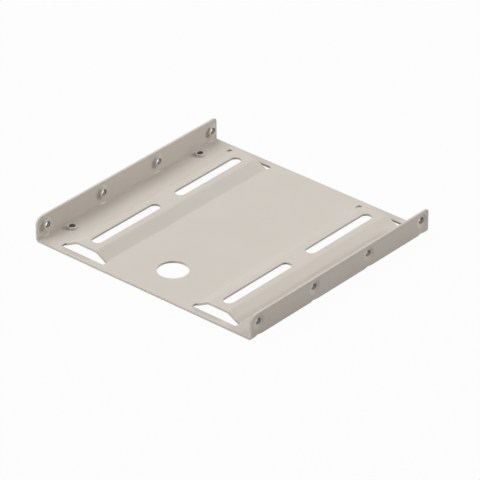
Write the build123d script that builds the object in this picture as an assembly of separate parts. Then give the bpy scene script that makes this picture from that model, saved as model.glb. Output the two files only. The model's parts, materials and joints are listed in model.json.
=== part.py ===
from build123d import *
import os
from math import radians, sqrt, tan

# Drive bay adapter bracket: one steel sheet pressed and folded into a shallow channel.
# Millimetres. X runs across the channel, Y along it towards the rear and Z up.
# The origin is the middle of the underside.

# Sheet and channel
sheet_thickness = 0.8
channel_width = 101.6
channel_length = 97.1
channel_height = 9.6
fold_radius = 0.45
front_corner_radius = 3.0
rear_corner_radius = 1.2

# Raised pads that carry the drive, one along each side of the floor
pad_spacing = 62.1
pad_height = 2.6
pad_top_width = 9.5
pad_flank_angle = 28.0
pad_foot_radius = 2.0
pad_crest_radius = 2.4

# Cuts that free the ends of the pads from the floor, and the flat bars left beyond them
end_bar_width = 2.85
end_cut_width = 2.25
end_cut_margin = 0.5
end_cut_corner_radius = 0.4

# Slots along the pads
slot_width = 4.3
slot_bridge = 9.7
slot_end_margin = 3.8

# Round hole in the floor near the front
round_hole_diameter = 11.8
round_hole_from_front = 16.6

# Tapped holes: the sheet is drawn inwards into a collar around each
bore_diameter = 2.5
collar_diameter = 3.6

# Tapped holes in the flanges, each at the bottom of a shallow dish pressed into the sheet
side_hole_pitch = 29.8
side_hole_from_front = 4.2
side_hole_rear_margin = 3.0
side_hole_from_top = 3.75
side_collar_height = 1.2
dish_margin = 0.65
dish_depth = 0.5

# Tapped holes in the floor
floor_hole_from_side = 4.25
floor_hole_from_front = 14.4
floor_hole_from_rear = 13.2
floor_collar_height = 1.0
bore_lead_in = 0.45

# Dents that stiffen the folds below the side holes
dent_radius = 6.0
dent_depth = 0.35

# Positions that follow from the sizes above
front_y = -channel_length / 2
rear_y = channel_length / 2
wall_x = channel_width / 2
pad_x = pad_spacing / 2
pad_length = channel_length - 2 * (end_bar_width + end_cut_width)
pad_base_width = pad_top_width + 2 * pad_height / tan(radians(pad_flank_angle))
slot_length = (pad_length - slot_bridge) / 2 - slot_end_margin
side_hole_span = channel_length - side_hole_from_front - side_hole_rear_margin
side_hole_count = int(side_hole_span / side_hole_pitch) + 1
side_hole_height = channel_height - side_hole_from_top
side_hole_ys = [front_y + side_hole_from_front + i * side_hole_pitch for i in range(side_hole_count)]
floor_hole_ys = [front_y + floor_hole_from_front, rear_y - floor_hole_from_rear]


def section(with_pads):
    """Cross-section of the channel, drawn as the skins of the sheet's upper and lower faces."""
    skins = []
    for depth in (0, sheet_thickness):
        floor_z = sheet_thickness - depth
        inset = depth * tan(radians(pad_flank_angle) / 2)
        foot = pad_base_width / 2 - inset
        crest = pad_top_width / 2 - inset
        foot_r = pad_foot_radius + depth
        crest_r = pad_crest_radius + sheet_thickness - depth
        points = []
        radii = []
        if with_pads:
            points += [(pad_x - foot, floor_z), (pad_x - crest, floor_z + pad_height)]
            points += [(pad_x + crest, floor_z + pad_height), (pad_x + foot, floor_z)]
            radii += [foot_r, crest_r, crest_r, foot_r]
        points.append((wall_x - sheet_thickness + depth, floor_z))
        radii.append(fold_radius + depth)
        points.append((wall_x - sheet_thickness + depth, channel_height))
        mirrored = [(-x, z) for x, z in reversed(points)]
        skins.append(FilletPolyline(mirrored + points, radius=radii[::-1] + radii))
    upper, lower = skins
    rims = [Line(upper @ 0, lower @ 0), Line(upper @ 1, lower @ 1)]
    return Plane.XZ * make_face(upper.edges() + lower.edges() + rims)


def floor_hole():
    """Collar and drill of a floor hole, along Z, with the sheet's outer face at Z = 0."""
    bore_r = bore_diameter / 2
    mouth_r = bore_r + bore_lead_in
    collar_r = collar_diameter / 2
    root_z = sheet_thickness / 2
    tip_z = sheet_thickness + floor_collar_height
    collar_outline = Polyline((0, root_z), (collar_r, root_z), (collar_r, tip_z), (0, tip_z), close=True)
    drill_outline = Polyline(
        (0, -tip_z),
        (mouth_r, -tip_z),
        (mouth_r, 0),
        (bore_r, bore_lead_in),
        (bore_r, 2 * tip_z),
        (0, 2 * tip_z),
        close=True,
    )
    return [revolve(Plane.XZ * make_face(outline), Axis.Z) for outline in (collar_outline, drill_outline)]


def flange_hole():
    """Collar and drill of a flange hole, along Z, with the sheet's outer face at Z = 0; its dish keeps the
    sheet's thickness, bulges on the inner face and runs into the bore."""
    bore_r = bore_diameter / 2
    collar_r = collar_diameter / 2
    dish_r = side_hole_from_top - dish_margin
    root_z = sheet_thickness / 2
    bulge_z = sheet_thickness + dish_depth * (dish_r - collar_r) / (dish_r - bore_r)
    tip_z = sheet_thickness + side_collar_height
    collar_outline = Polyline(
        (0, root_z),
        (dish_r, root_z),
        (dish_r, sheet_thickness),
        (collar_r, bulge_z),
        (collar_r, tip_z),
        (0, tip_z),
        close=True,
    )
    drill_outline = Polyline(
        (0, -tip_z),
        (dish_r, -tip_z),
        (dish_r, 0),
        (bore_r, dish_depth),
        (bore_r, 2 * tip_z),
        (0, 2 * tip_z),
        close=True,
    )
    return [revolve(Plane.XZ * make_face(outline), Axis.Z) for outline in (collar_outline, drill_outline)]


# Channel: padded along the middle, plain at the two ends
padded = extrude(section(True), amount=pad_length / 2, both=True)
plain = extrude(section(False), amount=channel_length / 2, both=True)
middle = Box(2 * channel_width, pad_length, 4 * channel_height)
bracket = padded + (plain - middle)

# Flange corners, rounded at the front more than at the rear
for end_y, corner_radius in ((front_y, front_corner_radius), (rear_y, rear_corner_radius)):
    corners = bracket.edges().filter_by(Axis.X).filter_by_position(Axis.Z, channel_height, channel_height)
    bracket = fillet(corners.filter_by_position(Axis.Y, end_y, end_y), corner_radius)

# Cuts at the pad ends
end_cut_y = pad_length / 2 + end_cut_width / 2
end_cut = RectangleRounded(pad_base_width + 2 * end_cut_margin, end_cut_width, end_cut_corner_radius)
for x in (-pad_x, pad_x):
    for y in (-end_cut_y, end_cut_y):
        bracket -= Pos(x, y) * extrude(end_cut, amount=channel_height, both=True)

# Slots and round hole
slot_y = slot_bridge / 2 + slot_length / 2
slot = Rot(Z=90) * SlotOverall(slot_length, slot_width)
for x in (-pad_x, pad_x):
    for y in (-slot_y, slot_y):
        bracket -= Pos(x, y) * extrude(slot, amount=channel_height, both=True)
round_hole_y = front_y + round_hole_from_front
bracket -= Pos(0, round_hole_y) * Cylinder(round_hole_diameter / 2, 2 * channel_height)

# Dents across the folds: the sheet keeps its thickness and bulges into the channel
fold_outer_radius = fold_radius + sheet_thickness
dent_reach = dent_radius - dent_depth - fold_outer_radius * (sqrt(2) - 1)
core_block = Rectangle(channel_width - sheet_thickness, 2 * channel_height - sheet_thickness)
core_outline = Plane.XZ * Pos(0, channel_height) * core_block
core_corners = core_outline.vertices().group_by(Axis.Z)[0]
core_outline = fillet(core_corners, fold_outer_radius - sheet_thickness / 2)
core = extrude(core_outline, amount=channel_length / 2, both=True)
for side in (-1, 1):
    for y in side_hole_ys:
        centre = Pos(side * (wall_x + dent_reach / sqrt(2)), y, -dent_reach / sqrt(2))
        bracket += core & (centre * Sphere(dent_radius + sheet_thickness))
        bracket -= centre * Sphere(dent_radius)

# Tapped holes in the flanges
side_collar, side_drill = flange_hole()
for side in (-1, 1):
    for y in side_hole_ys:
        place = Plane((side * wall_x, y, side_hole_height), z_dir=(-side, 0, 0)).location
        bracket += place * side_collar
        bracket -= place * side_drill

# Tapped holes in the floor
floor_collar, floor_drill = floor_hole()
for side in (-1, 1):
    for y in floor_hole_ys:
        place = Pos(side * (wall_x - floor_hole_from_side), y)
        bracket += place * floor_collar
        bracket -= place * floor_drill

os.makedirs("parts", exist_ok=True)
export_step(bracket, "parts/bracket.step")
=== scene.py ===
import bpy
import json
from collections import Counter
from math import cos, pi, radians, sin, sqrt
from mathutils import Matrix, Vector


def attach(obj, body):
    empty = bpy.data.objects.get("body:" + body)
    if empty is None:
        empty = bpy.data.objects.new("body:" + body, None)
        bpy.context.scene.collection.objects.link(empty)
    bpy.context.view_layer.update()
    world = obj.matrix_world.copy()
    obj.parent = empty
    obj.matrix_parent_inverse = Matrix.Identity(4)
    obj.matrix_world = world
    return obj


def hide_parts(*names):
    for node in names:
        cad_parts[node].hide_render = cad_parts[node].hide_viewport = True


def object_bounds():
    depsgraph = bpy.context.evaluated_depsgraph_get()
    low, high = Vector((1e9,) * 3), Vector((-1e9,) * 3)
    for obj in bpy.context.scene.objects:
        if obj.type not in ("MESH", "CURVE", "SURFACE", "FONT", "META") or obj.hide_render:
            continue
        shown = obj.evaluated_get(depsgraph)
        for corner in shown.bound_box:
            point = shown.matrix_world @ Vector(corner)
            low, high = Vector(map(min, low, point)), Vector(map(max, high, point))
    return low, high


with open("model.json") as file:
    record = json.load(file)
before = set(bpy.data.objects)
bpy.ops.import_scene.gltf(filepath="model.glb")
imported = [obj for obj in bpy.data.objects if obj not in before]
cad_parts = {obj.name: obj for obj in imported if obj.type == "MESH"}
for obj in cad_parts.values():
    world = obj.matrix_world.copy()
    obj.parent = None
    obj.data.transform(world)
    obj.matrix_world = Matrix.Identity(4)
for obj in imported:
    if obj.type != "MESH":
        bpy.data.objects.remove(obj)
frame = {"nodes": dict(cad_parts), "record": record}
cad_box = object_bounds()

# Bracket: one sheet of mild steel, cut, pressed and folded into a shallow channel, then sprayed all over
# with a dull, warm light grey paint. The tapped holes are drawn inwards out of the sheet, so their mouths,
# rims and roots are round, and the paint softens every cut edge.
mm = 0.001
sheet_thickness = 0.8 * mm
fold_outer_radius = 1.25 * mm
end_bar_width = 2.85 * mm
end_cut_width = 2.25 * mm
bore_radius = 1.25 * mm
bore_lead_in = 0.45 * mm
collar_radius = 1.8 * mm
side_collar_height = 1.2 * mm
floor_collar_height = 1.0 * mm
dish_radius = 3.1 * mm
dish_depth = 0.5 * mm
dent_radius = 6.0 * mm
dent_depth = 0.35 * mm
thread_depth = 0.23 * mm
edge_rounding = 0.08 * mm
mouth_rounding = 0.2 * mm
rim_rounding = 0.15 * mm
root_rounding = 0.3 * mm

# Limits for the mesh work: how near a point is to the ring or surface that it lies on, how near points are
# welded, and the angles up to which faces count as flat or smooth and from which an edge is a cut one
touch = 0.02 * mm
weld_distance = 0.002 * mm
flat_angle = radians(1)
smooth_angle = radians(35)
cut_edge_angle = radians(40)

# Depths below the sheet's outer face at the tapped holes in the flanges and in the floor
dish_slope = dish_depth / (dish_radius - bore_radius)
bore_start = {"side": dish_depth, "floor": bore_lead_in}
root = {"side": sheet_thickness + dish_slope * (dish_radius - collar_radius), "floor": sheet_thickness}
tip = {"side": sheet_thickness + side_collar_height, "floor": sheet_thickness + floor_collar_height}

# Each tapped hole has a kind, a centre on the sheet's outer face and the direction into the bracket
holes = []
for mount in frame["record"]["mounts"]:
    if mount["kind"] == "bolt_pattern" and "holes" in mount["name"]:
        outward = Vector(mount["axis"])
        half_x = mount["dims"].get("spacing_x_mm", 0) * mm / 2
        half_y = mount["dims"].get("spacing_y_mm", 0) * mm / 2
        if abs(outward.z) > abs(outward.x):
            kind = "floor"
            offsets = [Vector((i * half_x, j * half_y, 0)) for i in (-1, 1) for j in (-1, 1)]
        else:
            kind = "side"
            offsets = [Vector((0, i * half_x, 0)) for i in (-1, 1)]
        holes += [(kind, Vector(mount["pos_m"]) + offset, -outward) for offset in offsets]
side_holes = [hole for hole in holes if hole[0] == "side"]


def in_hole(point, hole):
    """Depth below the sheet's outer face and distance from the axis of a tapped hole."""
    kind, centre, inward = hole
    arm = point - centre
    depth = arm.dot(inward)
    return depth, (arm - inward * depth).length


def clear_selection(mesh):
    """Leaves no vertex, edge or face of the mesh selected."""
    for part in (mesh.vertices, mesh.edges, mesh.polygons):
        part.foreach_set("select", [False] * len(part))


def select_rings(mesh, chosen_holes, rings):
    """Selects the edges that lie on the rings, which are given for each kind of hole as depths and radii."""
    clear_selection(mesh)
    for hole in chosen_holes:
        for edge in mesh.edges:
            ends = [in_hole(mesh.vertices[i].co, hole) for i in edge.vertices]
            for depth, radius in rings[hole[0]]:
                if all(abs(d - depth) < touch and abs(r - radius) < touch for d, r in ends):
                    edge.select = True


sheet = frame["nodes"]["bracket"]
bpy.ops.object.select_all(action="DESELECT")
bracket = sheet.copy()
bracket.data = sheet.data.copy()
bracket.name = "painted_bracket"
bpy.context.scene.collection.objects.link(bracket)
bpy.context.view_layer.objects.active = bracket
bracket.select_set(True)
bpy.ops.mesh.customdata_custom_splitnormals_clear()
bpy.ops.object.mode_set(mode="EDIT")
bpy.ops.mesh.select_mode(type="EDGE")
bpy.ops.mesh.select_all(action="SELECT")
bpy.ops.mesh.remove_doubles(threshold=weld_distance)
bpy.ops.mesh.dissolve_limited(angle_limit=flat_angle)
bpy.ops.object.mode_set(mode="OBJECT")

# The dishes around the flange holes are laid out afresh in even quads, so that they shade evenly. Each is
# a cone between two rings.
dish_cuts = 2
dish_slack = 0.05
outer_dish = ((0, dish_radius), (bore_start["side"], bore_radius))
inner_dish = ((sheet_thickness, dish_radius), (root["side"], collar_radius))


def on_dish(point, hole, rim, foot):
    """Tells whether a point lies on the cone between two rings, each given as its depth and radius."""
    depth, radius = in_hole(point, hole)
    rim_depth, rim_radius = rim
    foot_depth, foot_radius = foot
    share = (depth - rim_depth) / (foot_depth - rim_depth)
    cone_radius = rim_radius + share * (foot_radius - rim_radius)
    return -dish_slack < share < 1 + dish_slack and abs(radius - cone_radius) < 2 * touch


for hole in side_holes:
    for rim, foot in (outer_dish, inner_dish):
        clear_selection(bracket.data)
        for face in bracket.data.polygons:
            corners = [bracket.data.vertices[i].co for i in face.vertices]
            face.select = all(on_dish(corner, hole, rim, foot) for corner in corners)
        bpy.ops.object.mode_set(mode="EDIT")
        bpy.ops.mesh.select_mode(type="FACE")
        bpy.ops.mesh.delete(type="FACE")
        bpy.ops.mesh.select_mode(type="EDGE")
        bpy.ops.object.mode_set(mode="OBJECT")
        select_rings(bracket.data, [hole], {"side": [rim, foot]})
        bpy.ops.object.mode_set(mode="EDIT")
        bpy.ops.mesh.bridge_edge_loops(number_cuts=dish_cuts, interpolation="LINEAR")
        bpy.ops.object.mode_set(mode="OBJECT")

# The mouths, rims and roots of the drawn holes are rounded.
mouth_steps = 4
collar_steps = 3
mouths = {
    "side": [(bore_start["side"], bore_radius)],
    "floor": [(0, bore_radius + bore_lead_in), (bore_start["floor"], bore_radius)],
}
rims = {kind: [(tip[kind], bore_radius), (tip[kind], collar_radius)] for kind in tip}
roots = {kind: [(root[kind], collar_radius)] for kind in root}
for rings, rounding, steps in (
    (mouths, mouth_rounding, mouth_steps),
    (rims, rim_rounding, collar_steps),
    (roots, root_rounding, collar_steps),
):
    select_rings(bracket.data, holes, rings)
    bpy.ops.object.mode_set(mode="EDIT")
    bpy.ops.mesh.bevel(offset=rounding, offset_type="OFFSET", segments=steps, affect="EDGES")
    bpy.ops.object.mode_set(mode="OBJECT")

# The bores are widened to the foot of the threads, and their walls are bare steel.
clear_selection(bracket.data)
for face in bracket.data.polygons:
    for hole in holes:
        start = bore_start[hole[0]]
        end = tip[hole[0]]
        corners = [in_hole(bracket.data.vertices[i].co, hole) for i in face.vertices]
        if all(start < depth < end and abs(radius - bore_radius) < touch for depth, radius in corners):
            face.select = True
bracket.data.materials.clear()
bracket.data.materials.append(bpy.data.materials.new("light grey paint"))
bracket.data.materials.append(bpy.data.materials.new("cut steel"))
bracket.active_material_index = 1
bpy.ops.object.mode_set(mode="EDIT")
bpy.ops.mesh.select_mode(type="FACE")
bpy.ops.object.material_slot_assign()
bpy.ops.mesh.extrude_region_shrink_fatten(TRANSFORM_OT_shrink_fatten={"value": -thread_depth})
bpy.ops.object.mode_set(mode="OBJECT")

# Painted shade: the sheared walls of the narrow cuts at the pad ends get the darker bare-steel material in
# place of the shade that falls in these narrow cuts. These walls face along the channel.
channel_end = cad_box[1][1]
cut_middle = channel_end - end_bar_width - end_cut_width / 2
cut_reach = end_cut_width / 2 + touch
least_facing = 0.9
clear_selection(bracket.data)
for face in bracket.data.polygons:
    in_cut = abs(abs(face.center.y) - cut_middle) < cut_reach
    in_floor = touch < face.center.z < sheet_thickness - touch
    if in_cut and in_floor and abs(face.normal.y) > least_facing:
        face.select = True
bpy.ops.object.mode_set(mode="EDIT")
bpy.ops.object.material_slot_assign()
bpy.ops.object.mode_set(mode="OBJECT")

softened = bracket.modifiers.new("softened edges", "BEVEL")
softened.width = edge_rounding
softened.segments = 2
softened.limit_method = "ANGLE"
softened.angle_limit = cut_edge_angle
bpy.ops.object.modifier_apply(modifier=softened.name)
bpy.ops.object.shade_smooth_by_angle(angle=smooth_angle)

# The dents in the folds are struck with a ball, so they have a crisp border: the edges with the ball's
# surface on one side only.
dent_reach = (dent_radius - dent_depth - fold_outer_radius * (sqrt(2) - 1)) / sqrt(2)
clear_selection(bracket.data)
for kind, centre, inward in side_holes:
    ball = Vector((centre.x - inward.x * dent_reach, centre.y, -dent_reach))
    for ball_radius in (dent_radius, dent_radius + sheet_thickness):
        ball_sides = Counter()
        for face in bracket.data.polygons:
            reaches = [(bracket.data.vertices[i].co - ball).length for i in face.vertices]
            if all(abs(reach - ball_radius) < touch for reach in reaches):
                ball_sides.update(face.edge_keys)
        for edge in bracket.data.edges:
            if ball_sides[edge.key] == 1:
                edge.select = True
bpy.ops.object.mode_set(mode="EDIT")
bpy.ops.mesh.select_mode(type="EDGE")
bpy.ops.mesh.mark_sharp()
bpy.ops.object.mode_set(mode="OBJECT")
even = bracket.modifiers.new("even faces", "WEIGHTED_NORMAL")
even.mode = "FACE_AREA_WITH_ANGLE"
even.weight = 100
even.keep_sharp = True
bpy.ops.object.modifier_apply(modifier=even.name)


def feed(tree, source, socket):
    """Links another node's output to a socket, or sets a plain value on it."""
    if isinstance(source, bpy.types.NodeSocket):
        tree.links.new(source, socket)
    else:
        socket.default_value = source


def add_noise(tree, scale, detail):
    """Noise on the piece's own coordinates, with about as many spots to the metre as the scale says."""
    place = tree.nodes.new("ShaderNodeTexCoord")
    noise = tree.nodes.new("ShaderNodeTexNoise")
    feed(tree, place.outputs["Object"], noise.inputs["Vector"])
    feed(tree, scale, noise.inputs["Scale"])
    feed(tree, detail, noise.inputs["Detail"])
    return noise.outputs["Fac"]


def add_range(tree, value, source, target):
    """A value taken from the source range to the target range and kept inside it."""
    fitted = tree.nodes.new("ShaderNodeMapRange")
    feed(tree, value, fitted.inputs["Value"])
    for name, limit in zip(("From Min", "From Max", "To Min", "To Max"), source + target):
        feed(tree, limit, fitted.inputs[name])
    return fitted.outputs["Result"]


def add_mix(tree, share, first, second):
    """A colour between two: the first where the share is 0 and the second where it is 1."""
    mix = tree.nodes.new("ShaderNodeMix")
    mix.data_type = "RGBA"
    feed(tree, share, mix.inputs["Factor"])
    feed(tree, first, mix.inputs["A"])
    feed(tree, second, mix.inputs["B"])
    return mix.outputs["Result"]


def add_math(tree, operation, first, second):
    """The result of one step of arithmetic."""
    step = tree.nodes.new("ShaderNodeMath")
    step.operation = operation
    feed(tree, first, step.inputs[0])
    feed(tree, second, step.inputs[1])
    return step.outputs["Value"]


# The sprayed coat varies a little in tone over a few centimetres.
paint_dark = (0.652, 0.602, 0.542, 1)
paint_light = (0.692, 0.643, 0.585, 1)
paint = bracket.data.materials[0]
paint.use_nodes = True
tree = paint.node_tree
skin = tree.nodes["Principled BSDF"]
skin.inputs["Specular IOR Level"].default_value = 0.35
spray = add_noise(tree, scale=55, detail=3)
tone = add_mix(tree, spray, paint_dark, paint_light)

# Painted shade: an occlusion mask darkens the inside corners of the folds and the roots of the collars
# towards a darker grey, in place of the shade that falls there.
corner_shade_colour = (0.36, 0.33, 0.295, 1)
corner_shade_reach = 0.7 * mm
corner = tree.nodes.new("ShaderNodeAmbientOcclusion")
corner.samples = 8
corner.only_local = True
corner.inputs["Distance"].default_value = corner_shade_reach
painted_shade_mask = add_range(tree, corner.outputs["AO"], source=(0.62, 0.94), target=(1, 0))
shaded_tone = add_mix(tree, painted_shade_mask, tone, corner_shade_colour)

# The coat is thin and rubbed on the cut edges, in broken patches.
rubbed_colour = (0.36, 0.34, 0.315, 1)
rubbed_reach = 0.2 * mm
rounded = tree.nodes.new("ShaderNodeBevel")
rounded.samples = 6
rounded.inputs["Radius"].default_value = rubbed_reach
facing = tree.nodes.new("ShaderNodeNewGeometry")
agreement = tree.nodes.new("ShaderNodeVectorMath")
agreement.operation = "DOT_PRODUCT"
feed(tree, rounded.outputs["Normal"], agreement.inputs[0])
feed(tree, facing.outputs["Normal"], agreement.inputs[1])
near_edge = add_range(tree, agreement.outputs["Value"], source=(0.99, 0.85), target=(0, 1))
rubbing = add_noise(tree, scale=420, detail=4)
patches = add_range(tree, rubbing, source=(0.5, 0.66), target=(0, 0.55))
wear = add_math(tree, "MULTIPLY", near_edge, patches)
worn = add_mix(tree, wear, shaded_tone, rubbed_colour)
feed(tree, worn, skin.inputs["Base Color"])

# Orange peel: the fine ripple of a sprayed coat, whose dull gloss hardly varies.
peel_height = 0.012 * mm
peel = add_noise(tree, scale=1300, detail=2)
ripple = tree.nodes.new("ShaderNodeBump")
ripple.inputs["Strength"].default_value = 0.8
ripple.inputs["Distance"].default_value = peel_height
feed(tree, peel, ripple.inputs["Height"])
feed(tree, ripple.outputs["Normal"], skin.inputs["Normal"])
dull = add_range(tree, spray, source=(0.3, 0.7), target=(0.66, 0.7))
feed(tree, dull, skin.inputs["Roughness"])

# The bare steel is finely mottled where the tap has torn it. On the walls of the end cuts the same material
# is painted shade.
steel_dark = (0.25, 0.237, 0.22, 1)
steel_bright = (0.36, 0.345, 0.325, 1)
steel = bracket.data.materials[1]
steel.use_nodes = True
tree = steel.node_tree
cut_face = tree.nodes["Principled BSDF"]
cut_face.inputs["Metallic"].default_value = 0.25
mottle = add_noise(tree, scale=2600, detail=3)
feed(tree, add_mix(tree, mottle, steel_dark, steel_bright), cut_face.inputs["Base Color"])
feed(tree, add_range(tree, mottle, source=(0, 1), target=(0.45, 0.65)), cut_face.inputs["Roughness"])
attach(bracket, "root")
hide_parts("bracket")

# Threads: M3 threads cut into the collars after painting, so their flanks are bare dark steel. For each kind
# of hole one coil is turned out of a triangular ridge and copied into all the bores of that kind.
thread_pitch = 0.5 * mm
thread_margin = 0.02 * mm
ridge_half_width = 0.17 * mm
ridge_sink = 0.02 * mm
crest_clearance = 0.03 * mm
ridge_base = bore_radius + thread_depth + ridge_sink
ridge_crest = bore_radius + crest_clearance
steps_per_turn = 32
coils = []
for kind in ("side", "floor"):
    start = bore_start[kind] + mouth_rounding + ridge_half_width + thread_margin
    end = tip[kind] - rim_rounding - ridge_half_width - thread_margin
    turns = (end - start) / thread_pitch
    ridge = (
        (ridge_base, start - ridge_half_width),
        (ridge_crest, start),
        (ridge_base, start + ridge_half_width),
    )
    bpy.ops.object.select_all(action="DESELECT")
    bpy.ops.mesh.primitive_circle_add(vertices=3, radius=ridge_half_width, location=(0, 0, 0))
    coil = bpy.context.active_object
    for vertex, (radius, depth) in zip(coil.data.vertices, ridge):
        vertex.co = (radius, 0, depth)
    turned = coil.modifiers.new("turned", "SCREW")
    turned.axis = "Z"
    turned.angle = 2 * pi * turns
    turned.screw_offset = end - start
    turned.steps = turned.render_steps = int(steps_per_turn * turns)
    bpy.ops.object.modifier_apply(modifier=turned.name)
    bpy.ops.object.mode_set(mode="EDIT")
    bpy.ops.mesh.select_mode(type="EDGE")
    bpy.ops.mesh.select_all(action="DESELECT")
    bpy.ops.mesh.select_non_manifold()
    bpy.ops.mesh.fill()
    bpy.ops.mesh.select_all(action="SELECT")
    bpy.ops.mesh.normals_make_consistent(inside=False)
    bpy.ops.object.mode_set(mode="OBJECT")
    for hole_kind, centre, inward in holes:
        if hole_kind == kind:
            turn_inward = inward.to_track_quat("Z", "Y").to_matrix().to_4x4()
            copy = coil.copy()
            copy.data = coil.data.copy()
            copy.data.transform(Matrix.Translation(centre) @ turn_inward)
            bpy.context.scene.collection.objects.link(copy)
            coils.append(copy)
    bpy.data.objects.remove(coil)
bpy.ops.object.select_all(action="DESELECT")
for coil in coils:
    coil.select_set(True)
threads = coils[0]
bpy.context.view_layer.objects.active = threads
bpy.ops.object.join()
threads.name = "threads"
threads.data.materials.append(steel)
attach(threads, "root")

# Floor: a plain pale sweep under the bracket, seen as white, with the bracket's soft shadow on it. It throws
# a warm grey light back onto the bracket.
floor_size = 4.0
floor_gap = 0.05 * mm
floor_colour = (0.57, 0.548, 0.518, 1)
floor_whiteness = 0.96
white = (1, 1, 1, 1)


def add_seen(tree):
    """1 for a ray that shows straight on or by a reflection, and 0 for one that only carries light."""
    ray = tree.nodes.new("ShaderNodeLightPath")
    seen = add_math(tree, "MAXIMUM", ray.outputs["Is Camera Ray"], ray.outputs["Is Glossy Ray"])
    return add_math(tree, "MAXIMUM", seen, ray.outputs["Is Transmission Ray"])


def add_blend(tree, share, first, second, surface):
    """Gives the surface the first shader where the share is 0 and the second where it is 1."""
    blend = tree.nodes.new("ShaderNodeMixShader")
    feed(tree, share, blend.inputs["Fac"])
    feed(tree, first.outputs[0], blend.inputs[1])
    feed(tree, second.outputs[0], blend.inputs[2])
    feed(tree, blend.outputs["Shader"], surface.inputs["Surface"])


bpy.ops.object.select_all(action="DESELECT")
bpy.ops.mesh.primitive_plane_add(size=floor_size, location=(0, 0, -floor_gap))
floor = bpy.context.active_object
floor.name = "floor"
sweep = bpy.data.materials.new("pale sweep")
sweep.use_nodes = True
tree = sweep.node_tree
tree.nodes.clear()
surface = tree.nodes.new("ShaderNodeOutputMaterial")
pale = tree.nodes.new("ShaderNodeBsdfDiffuse")
pale.inputs["Color"].default_value = floor_colour
glow = tree.nodes.new("ShaderNodeEmission")
glow.inputs["Color"].default_value = white
whiteness = add_math(tree, "MULTIPLY", add_seen(tree), floor_whiteness)
add_blend(tree, whiteness, pale, glow, surface)
floor.data.materials.append(sweep)

# Light: three wide soft lamps at the left and the front, two smaller ones at the back right and a faint even
# dome. Each lamp is given by the degrees round from the front, the degrees above the floor, its width in
# metres and its power in watts.
dome_strength = 0.02
lamp_distance = 1.0
lamps = {
    "left": (256, 57, 0.9, 4.75),
    "front_left": (322, 20, 0.9, 4.2),
    "front": (347, 34, 0.9, 2.4),
    "back": (128, 55, 0.2, 1.6),
    "low_back": (140, 27, 0.2, 3.8),
}


def put(thing, target, around, above, distance):
    """Puts a lamp or the camera off from its target, by the degrees round and above, and turns it there."""
    around = radians(around)
    above = radians(above)
    direction = Vector((sin(around) * cos(above), -cos(around) * cos(above), sin(above)))
    thing.location = target + direction * distance
    thing.rotation_euler = direction.to_track_quat("Z", "Y").to_euler()


world = bpy.data.worlds.new("studio")
bpy.context.scene.world = world
world.use_nodes = True
tree = world.node_tree
tree.nodes.clear()
surface = tree.nodes.new("ShaderNodeOutputWorld")
dome = tree.nodes.new("ShaderNodeBackground")
dome.inputs["Color"].default_value = white
dome.inputs["Strength"].default_value = dome_strength
backdrop = tree.nodes.new("ShaderNodeBackground")
backdrop.inputs["Color"].default_value = white
add_blend(tree, add_seen(tree), dome, backdrop, surface)
for name, (around, above, width, power) in lamps.items():
    lamp_data = bpy.data.lights.new(name, "AREA")
    lamp_data.shape = "DISK"
    lamp_data.size = width
    lamp_data.energy = power
    lamp = bpy.data.objects.new(name + "_lamp", lamp_data)
    bpy.context.scene.collection.objects.link(lamp)
    put(lamp, Vector((0, 0, 0)), around, above, lamp_distance)

# Camera: at the photograph's viewing angle, far off with a long lens. The angles are in degrees, and the
# lens and the sensor in millimetres, as on a camera.
camera_around = 40.91
camera_above = 31.04
camera_distance = 1.5486
camera_target = Vector((2.47, 1.28, -1.08)) * mm
camera_lens = 324.25
camera_sensor = 36.0
camera_data = bpy.data.cameras.new("camera")
camera_data.sensor_width = camera_sensor
camera_data.lens = camera_lens
camera = bpy.data.objects.new("camera", camera_data)
bpy.context.scene.collection.objects.link(camera)
put(camera, camera_target, camera_around, camera_above, camera_distance)
bpy.context.scene.camera = camera
bpy.context.scene.view_settings.view_transform = "Standard"
